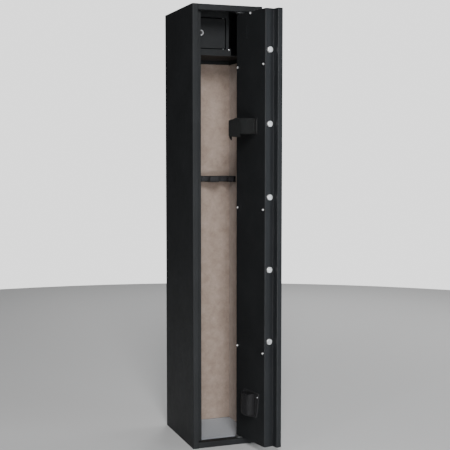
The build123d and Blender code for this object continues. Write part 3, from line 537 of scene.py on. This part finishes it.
def rounded_path(corners, radii, step):
    """Points at most step apart along a polyline with rounded corners."""
    corners = [Vector(c) for c in corners]
    path = [corners[0]]
    for before, corner, after, radius in zip(corners, corners[1:], corners[2:], radii):
        a, b = (before - corner).normalized(), (after - corner).normalized()
        half = a.angle(b) / 2
        centre = corner + (a + b).normalized() * radius / math.sin(half)
        start, end = corner + a * radius / math.tan(half), corner + b * radius / math.tan(half)
        turn = math.pi - 2 * half
        count = max(4, math.ceil(radius * turn / step))
        for k in range(count + 1):
            f = k / count
            path.append(centre + ((start - centre) * math.sin((1 - f) * turn)
                                  + (end - centre) * math.sin(f * turn)) / math.sin(turn))
    path.append(corners[-1])
    out = [path[0]]
    for point in path[1:]:
        gap = (point - out[-1]).length
        if gap < 0.05:
            continue
        start, pieces = out[-1], max(1, math.ceil(gap / step))
        out += [start.lerp(point, k / pieces) for k in range(1, pieces + 1)]
    return out


TUBE_END = 0.55  # share of its radius that a tube keeps at its ends


def tube(path, radius, sides):
    """Verts and faces of a closed tube along 3-D points, narrower at both ends."""
    verts, faces = [], []
    count = len(path)
    up = None
    for k, point in enumerate(path):
        forward = (path[min(k + 1, count - 1)] - path[max(k - 1, 0)]).normalized()
        if up is None:
            up = forward.orthogonal().normalized()
        side = forward.cross(up).normalized()
        up = side.cross(forward).normalized()
        size = radius * (TUBE_END if k in (0, count - 1) else 1.0)
        for s in range(sides):
            a = 2 * math.pi * s / sides
            verts.append(point + (side * math.cos(a) + up * math.sin(a)) * size)
    for k in range(count - 1):
        for s in range(sides):
            t = (s + 1) % sides
            faces.append((k * sides + s, k * sides + t, (k + 1) * sides + t, (k + 1) * sides + s))
    faces.append(tuple(reversed(range(sides))))
    faces.append(tuple((count - 1) * sides + s for s in range(sides)))
    return verts, faces


def stitches(name, rows, radius, length, gap, slot, body, material):
    """Short stitches, a little sunk at their ends, along rows of (points, outward direction)."""
    verts, faces = [], []
    for points, outward in rows:
        travelled, wanted = 0.0, 0.0
        for a, b in zip(points, points[1:]):
            span = (b - a).length
            while wanted + length <= travelled + span + 1e-9:
                start = a.lerp(b, max(0.0, (wanted - travelled) / span))
                end = a.lerp(b, min(1.0, (wanted + length - travelled) / span))
                middle = start.lerp(end, 0.5) + outward * radius * 0.5
                path = [start - outward * radius, start.lerp(end, 0.15), middle,
                        start.lerp(end, 0.85), end - outward * radius]
                some, more = tube(path, radius, 6)
                faces += [tuple(i + len(verts) for i in face) for face in more]
                verts += some
                wanted += length + gap
            travelled += span
    return add_piece(name, verts, faces, slot, body, material=material)


# ---- linings and mat --------------------------------------------------------------------
FELT_EDGE = 1.8  # rounding of a cut felt edge
ANCHOR_CUTS = [(125.0, 350.0, 9.0), (125.0, 1150.0, 9.0)]  # x, z, radius
LINING_STEP, LINING_SIDE_STEP = 12.0, 10.0
MAT_X, MAT_Y, MAT_LOW, MAT_THICK = (3.0, 247.0), (82.0, 312.0), 2.5, 5.5
MAT_STEP, MAT_EDGE = 3.5, 3.0


def felt_relief(u, v, seed):
    """Height of the felt's face against its nominal thickness."""
    slow = 0.30 * waves(u, v, 95.0, seed) + 0.16 * waves(u, v, 32.0, seed + 7.0)
    return slow - 0.30


def lining(name, us, vs, place, stands_for, holes=()):
    """Felt glued to a wall; place(u, v, height) gives the point height off the wall."""
    points, quads = sheet_grid(us, vs, holes)
    seed = len(name) * 3.7

    def front(u, v, distance):
        return place(u, v, LINING + felt_relief(u, v, seed) - edge_drop(distance, FELT_EDGE))

    verts, faces = layered(points, quads, front, lambda u, v, distance: place(u, v, 0.0))
    piece = add_piece(name, verts, faces, "lining_felt", "safe_body", [stands_for])


def add_linings():
    squares = [(v - HOLE_HALF, v + HOLE_HALF) for _, v, _ in ANCHOR_CUTS]
    middle = ANCHOR_CUTS[0][0]
    quarter = HOLE_HALF / 4
    heights = lines(LINING_LOW, LINING_TOP, LINING_STEP)
    marked = set(lines(LINING_LOW, LINING_TOP, LINING_STEP, squares))
    marked |= {v + quarter * k for _, v, _ in ANCHOR_CUTS for k in range(-4, 5)}
    widths = set(lines(LEFT_INSIDE, RIGHT_INSIDE, LINING_STEP,
                       [(middle - HOLE_HALF, middle + HOLE_HALF)]))
    widths |= {middle + quarter * k for k in range(-4, 5)}
    lining("felt_back", sorted(widths), sorted(marked), lambda u, v, h: row(u, BACK_INSIDE - h, v),
           "back_lining", ANCHOR_CUTS)
    depths = lines(LINING_FRONT, BACK_INSIDE - LINING, LINING_SIDE_STEP)
    lining("felt_left", depths, heights, lambda u, v, h: row(LEFT_INSIDE + h, u, v),
           "left_lining")
    lining("felt_right", depths, heights, lambda u, v, h: row(RIGHT_INSIDE - h, u, v),
           "right_lining")


def add_mat():
    points, quads = sheet_grid(lines(*MAT_X, MAT_STEP), lines(*MAT_Y, MAT_STEP))

    def top(u, v, distance):
        pile = 0.45 * waves(u, v, 9.0, 4.2) + 0.35 * waves(u, v, 42.0, 9.1)
        return row(u, v, MAT_LOW + MAT_THICK - 0.3 + pile - edge_drop(distance, MAT_EDGE))

    verts, faces = layered(points, quads, top, lambda u, v, distance: row(u, v, MAT_LOW))
    piece = add_piece("carpet_mat", verts, faces, "mat_carpet", "safe_body", ["floor_mat"])


# ---- strap ------------------------------------------------------------------------------
STRAP_LEFT_X, STRAP_RIGHT_X = 182.8, 96.8  # far and near side of the loop, door shut
STRAP_OUT, STRAP_WIDTH, STRAP_THICK = 62.0, 51.0, 1.5
STRAP_CENTRE = 1095.5
STRAP_TAIL_Y = 44.0  # where the free tail starts, off the cover
STRAP_BENDS = (12.0, 22.0, 9.0, 9.0, 14.0)
# (length along, offset) of the webbing's middle: the free tail hangs lowest
STRAP_SAG = [(0.0, -21.0), (14.0, -12.0), (30.0, -3.0), (83.0, 0.0), (214.0, 0.0), (238.0, 4.5),
             (266.0, -4.0), (292.0, -9.0), (343.0, -11.0)]
OVERLAP_END_X = 101.0
PATCH_X, PATCH_STEP, PATCH_STEPS, PATCH_WIDTH = 89.8, 2.6, 36, 54.0
RIBBON_ACROSS = [-0.5, -0.485, -0.455] + [-0.4 + 0.1 * k for k in range(9)] + [0.455, 0.485, 0.5]


def ribbon(path, centre, width):
    """A webbing ribbon on the door, along plan points; centre(length along) gives its height."""
    runs = [0.0]
    for a, b in zip(path, path[1:]):
        runs.append(runs[-1] + (b - a).length)
    total = runs[-1]
    points, uv = [], []
    for k, point in enumerate(path):
        a, b = path[max(k - 1, 0)], path[min(k + 1, len(path) - 1)]
        along = (b - a).normalized()
        side = Vector((along.y, -along.x))
        end = min(runs[k], total - runs[k])
        for share in RIBBON_ACROSS:
            selvedge = 0.5 * STRAP_THICK * min(1.0, 0.35 + (0.5 - abs(share)) * 14.0)
            selvedge *= min(1.0, 0.45 + end / 3.0)
            points.append((point, side, centre(runs[k]) + share * width, selvedge))
            uv.append(((share + 0.5) * width * MM, runs[k] * MM))
    quads = grid_quads(len(RIBBON_ACROSS), len(path))

    def face(sign):
        return lambda point, side, z, half: on_door(*(point + side * half * sign), z)

    verts, faces = layered(points, quads, face(1.0), face(-1.0))
    return verts, faces, uv + uv, total


def add_strap():
    """One length of webbing: stitched down under a patch in its middle, both arms overlapping in
    front.
    """
    half = STRAP_THICK / 2
    near, far = STRAP_RIGHT_X + half, STRAP_LEFT_X - half
    out, low = COVER_Y + STRAP_OUT - half, COVER_Y + half + STRAP_THICK
    inner = STRAP_THICK + 0.3
    corners = [
        (far - inner, COVER_Y + STRAP_TAIL_Y), (far - inner, out - inner), (near, out - inner),
        (near, low), (far, low), (far, out), (OVERLAP_END_X, out),
    ]
    path = rounded_path(corners, STRAP_BENDS, 2.2)

    def centre(run):
        for (a, start), (b, end) in zip(STRAP_SAG, STRAP_SAG[1:]):
            if run <= b:
                share = (run - a) / (b - a)
                return STRAP_CENTRE + start + (end - start) * share * share * (3 - 2 * share)
        return STRAP_CENTRE + STRAP_SAG[-1][1]

    verts, faces, uv, total = ribbon(path, centre, STRAP_WIDTH)
    strap = add_piece("strap_webbing", verts, faces, "webbing", "door", ["gun_strap"], uv)

    patch = [Vector((PATCH_X + k * PATCH_STEP, COVER_Y + half)) for k in range(PATCH_STEPS + 1)]
    verts, faces, uv, _ = ribbon(patch, lambda run: STRAP_CENTRE, PATCH_WIDTH)
    tab = add_piece("strap_patch", verts, faces, "webbing", "door", uv=uv)

    rows = []
    for x in (PATCH_X + 2.6, PATCH_X + 4.8):
        ends = [on_door(x, COVER_Y + STRAP_THICK, STRAP_CENTRE + z) for z in (-22.0, 22.0)]
        rows.append((ends, OFF_COVER))
    stitches("strap_stitches", rows, 0.42 * MM, 2.7 * MM, 1.0 * MM, "webbing", "door", GREY_THREAD)


# ---- pouch ------------------------------------------------------------------------------
POUCH_X, POUCH_HALF, POUCH_OUT = 124.5, 28.5, 30.0
POUCH_LOW, POUCH_TOP, POUCH_WALL, POUCH_PANEL = 119.0, 199.0, 1.8, 2.0
POUCH_MOUTH_DROP = 0.16  # the mouth falls this much for each millimetre outwards
POUCH_BOTTOM = 11.0  # height over which the pocket's bottom rounds out
POUCH_COLUMNS, POUCH_ROWS = 44, 34
PANEL_LOW, PANEL_HIGH, PANEL_CORNER = 115.0, 200.5, 6.0
PANEL_US = [k / 24 for k in range(25)]
PANEL_VS = [0.0, 0.006, 0.018, 0.04] + [0.07 + 0.86 * k / 26 for k in range(27)]
PANEL_VS += [0.96, 0.982, 0.994, 1.0]
SEAM_X = POUCH_HALF * 0.985 + 3.0  # the seams beside the pocket, from its middle


def pouch_shell(turn, rise, inset=0.0):
    """A point of the pocket: turn 0..1 from its right seam to its left one, rise 0..1."""
    angle = math.pi * turn
    z = (POUCH_TOP - POUCH_LOW) * rise
    if z < POUCH_BOTTOM:
        full = math.sin(math.acos(max(-1.0, min(1.0, 1 - z / POUCH_BOTTOM)))) ** 0.9
    else:
        full = 1.0
    fill = 1.0 + 0.05 * math.sin(math.pi * min(1.0, rise * 1.15))
    fill -= 0.07 * max(0.0, rise - 0.75) * 4
    half = (POUCH_HALF - inset) * (0.80 + 0.20 * full)
    out = (POUCH_OUT - inset) * full * fill
    x = math.copysign(abs(math.cos(angle)) ** 0.62, math.cos(angle))
    y = max(0.0, math.sin(angle)) ** 0.52
    crease = 0.8 * waves(turn * 70.0, z, 16.0, 3.3) + 0.9 * waves(turn * 70.0, z * 1.6, 30.0, 8.8)
    crease *= math.sin(angle) * min(1.0, z / 20.0)
    sag = 3.0 * math.exp(-((rise - 0.12) / 0.12) ** 2) * math.sin(angle)
    px, py = POUCH_X - half * x, COVER_Y + POUCH_PANEL + (out + crease) * y
    pz = POUCH_LOW + z - sag * 0.6 - POUCH_MOUTH_DROP * out * y * max(0.0, rise - 0.4) / 0.6
    return px, py, pz


def polyline(points):
    """The length of a line through points."""
    return sum((Vector(b) - Vector(a)).length for a, b in zip(points, points[1:]))


def half_width(share):
    """Half the width of the back panel, at this share of its height."""
    return 31.0 + 16.5 * share ** 0.62


def panel(thick):
    """place(u, v) of a layer of the back panel: straight top, narrower rounded bottom."""
    height = PANEL_HIGH - PANEL_LOW

    def place(u, v):
        spread = half_width(v)
        near_end = min(v, 1 - v) * height
        if near_end < PANEL_CORNER:
            over = PANEL_CORNER - near_end
            spread -= PANEL_CORNER - math.sqrt(max(0.0, PANEL_CORNER ** 2 - over ** 2))
        side = min(u, 1 - u) * 2 * spread
        lift = thick * (0.5 + 0.5 * min(1.0, side / 1.5, near_end / 1.5)) if thick else 0.0
        return on_door(POUCH_X + spread * (2 * u - 1), COVER_Y + lift, PANEL_LOW + height * v)
    return place


def add_pocket():
    turns = [k / POUCH_COLUMNS for k in range(POUCH_COLUMNS + 1)]
    rises = [(k / POUCH_ROWS) ** 1.35 for k in range(POUCH_ROWS + 1)]
    points = [(t, r) for r in rises for t in turns]
    uv = [(math.pi * t * 34.0 * MM, r * 84.0 * MM) for t, r in points]
    verts, faces = layered(points, grid_quads(len(turns), len(rises)),
                           lambda t, r: on_door(*pouch_shell(t, r)),
                           lambda t, r: on_door(*pouch_shell(t, r, POUCH_WALL)))
    pocket = add_piece("pouch_pocket", verts, faces, "pouch_fabric", "door",
                       ["muzzle_pouch"], uv + uv)
    # cut: as wide as the mouth along its curve, as long as wall and rounded bottom together
    mouth_run = polyline([pouch_shell(t, 1.0, POUCH_WALL / 2) for t in turns])
    drop_run = polyline([pouch_shell(0.5, r, POUCH_WALL / 2) for r in rises])


def add_panel():
    points = [(u, v) for v in PANEL_VS for u in PANEL_US]
    verts, faces = layered(points, grid_quads(len(PANEL_US), len(PANEL_VS)),
                           panel(POUCH_PANEL), panel(0.0))
    uv = [(u * 90.0 * MM, v * 85.0 * MM) for u, v in points]
    back = add_piece("pouch_panel", verts, faces, "pouch_fabric", "door", uv=uv + uv)


def add_pouch():
    add_pocket()
    add_panel()
    # binding over the mouth, and piping round the panel
    along = [0.012 + 0.976 * k / 60 for k in range(61)]
    mouth = [Vector(pouch_shell(t, 1.0, POUCH_WALL / 2)) for t in along]
    path = [on_door(*(p + Vector((0, 0, -0.6)))) for p in mouth]
    verts, faces = tube(path, 2.1 * MM, 12)
    add_piece("pouch_binding", verts, faces, "pouch_fabric", "door", material=BINDING)
    outline = [(1.0, 1 - k / 40) for k in range(41)]
    outline += [(1.0 - k / 12, 0.0) for k in range(1, 13)]
    outline += [(0.0, k / 40) for k in range(1, 41)]
    outline += [(k / 16, 1.0) for k in range(1, 16)]
    place = panel(POUCH_PANEL)
    path = [place(u, v) for u, v in outline]
    path.append(path[0])
    verts, faces = tube(path, 1.25 * MM, 10)
    add_piece("pouch_piping", verts, faces, "pouch_fabric", "door", material=PIPING)

    rows = []
    for x in (POUCH_X - SEAM_X, POUCH_X + SEAM_X):
        ends = [on_door(x, COVER_Y + POUCH_PANEL, z) for z in (132.0, 196.0)]
        rows.append((ends, OFF_COVER))
    stitches("pouch_stitches", rows, 0.33 * MM, 2.4 * MM, 0.9 * MM,
             "pouch_fabric", "door", DARK_THREAD)


# ---- padding of the barrel rest ---------------------------------------------------------
PAD_X, PAD_Y, PAD_Z = (12.5, 237.5), (234.0, 308.5), (904.0, 923.0)
NOTCH_X, NOTCH_R, NOTCH_DEPTH = (54.0, 125.0, 196.0), 18.0, 28.0
PAD_EDGE, PAD_EDGE_STEPS = 4.5, 7  # rounding of the top edge
PAD_GRID, PAD_GRID_GAP = (44, 14), 2.4  # loose points on top, kept this far from the rim


def pad_outline():
    """Anticlockwise from the back right corner, along the notched front from left to right."""
    corners = [(PAD_X[1], PAD_Y[1]), (PAD_X[0], PAD_Y[1]), (PAD_X[0], PAD_Y[0])]
    radii = [2.0, 6.0]
    for x in NOTCH_X:
        deep = PAD_Y[0] + NOTCH_DEPTH
        corners += [(x - NOTCH_R, PAD_Y[0]), (x - NOTCH_R, deep),
                    (x + NOTCH_R, deep), (x + NOTCH_R, PAD_Y[0])]
        radii += [4.0, NOTCH_R - 0.02, NOTCH_R - 0.02, 4.0]
    corners += [(PAD_X[1], PAD_Y[0]), (PAD_X[1], PAD_Y[1])]
    radii += [6.0]
    return rounded_path(corners, radii, 2.0)[:-1]


def inside_loop(point, loop):
    inside = False
    for a, b in zip(loop, loop[1:] + loop[:1]):
        if (a.y > point.y) != (b.y > point.y):
            if point.x < (b.x - a.x) * (point.y - a.y) / (b.y - a.y) + a.x:
                inside = not inside
    return inside


def add_rest_pad():
    outline = pad_outline()
    count = len(outline)
    inward = []
    for k, point in enumerate(outline):
        along = (outline[(k + 1) % count] - outline[k - 1]).normalized()
        inward.append(Vector((-along.y, along.x)))
    levels = [(0.8, 0.0), (0.2, 0.5), (0.0, 1.6)]
    levels += [(0.25 * waves(0, z, 6.0, 2.0), z) for z in (5.0, 9.0, 12.5)]
    height = PAD_Z[1] - PAD_Z[0]
    for k in range(PAD_EDGE_STEPS + 1):
        a = math.radians(90.0 * k / PAD_EDGE_STEPS)
        levels.append((PAD_EDGE * (1 - math.cos(a)), height - PAD_EDGE * (1 - math.sin(a))))
    verts, faces = [], []
    for offset, z in levels:
        for k, point in enumerate(outline):
            p = point + inward[k] * offset
            dent = 0.25 * waves(p.x, p.y + z, 22.0, 1.5)
            verts.append(row(p.x, p.y, PAD_Z[0] + z + (dent if z > 10 else 0.0)))
    for level in range(len(levels) - 1):
        for k in range(count):
            nxt = (k + 1) % count
            a, b = level * count, (level + 1) * count
            faces.append((a + k, a + nxt, b + nxt, b + k))
    faces.append(tuple(reversed(range(count))))
    rim = [outline[k] + inward[k] * PAD_EDGE for k in range(count)]
    loose = []
    steps_x, steps_y = PAD_GRID
    for i in range(steps_x + 1):
        for j in range(steps_y + 1):
            p = Vector((PAD_X[0] + (PAD_X[1] - PAD_X[0]) * i / steps_x,
                        PAD_Y[0] + (PAD_Y[1] - PAD_Y[0]) * j / steps_y))
            if inside_loop(p, rim) and min((p - q).length for q in rim) > PAD_GRID_GAP:
                loose.append(p)
    flat = rim + loose
    edges = [(k, (k + 1) % count) for k in range(count)]
    places, _, triangles, _, _, _ = delaunay_2d_cdt(flat, edges, [], 1, 1e-6)
    base = (len(levels) - 1) * count
    number = {}
    for k, p in enumerate(places):
        if k < count:
            number[k] = base + k
        else:
            number[k] = len(verts)
            crown = 0.5 + 0.5 * waves(p.x, p.y, 30.0, 6.0)
            dent = 0.25 * waves(p.x, p.y + height, 22.0, 1.5)
            verts.append(row(p.x, p.y, PAD_Z[1] + 0.3 * crown + dent))
    faces += [tuple(number[i] for i in triangle) for triangle in triangles]
    pad = add_piece("rest_padding", verts, faces, "rest_foam", "safe_body", ["barrel_rest_pad"])


add_camera()
add_world()
add_stage()
add_lights()
finish_cad_nodes()
add_linings()
add_mat()
add_strap()
add_pouch()
add_rest_pad()
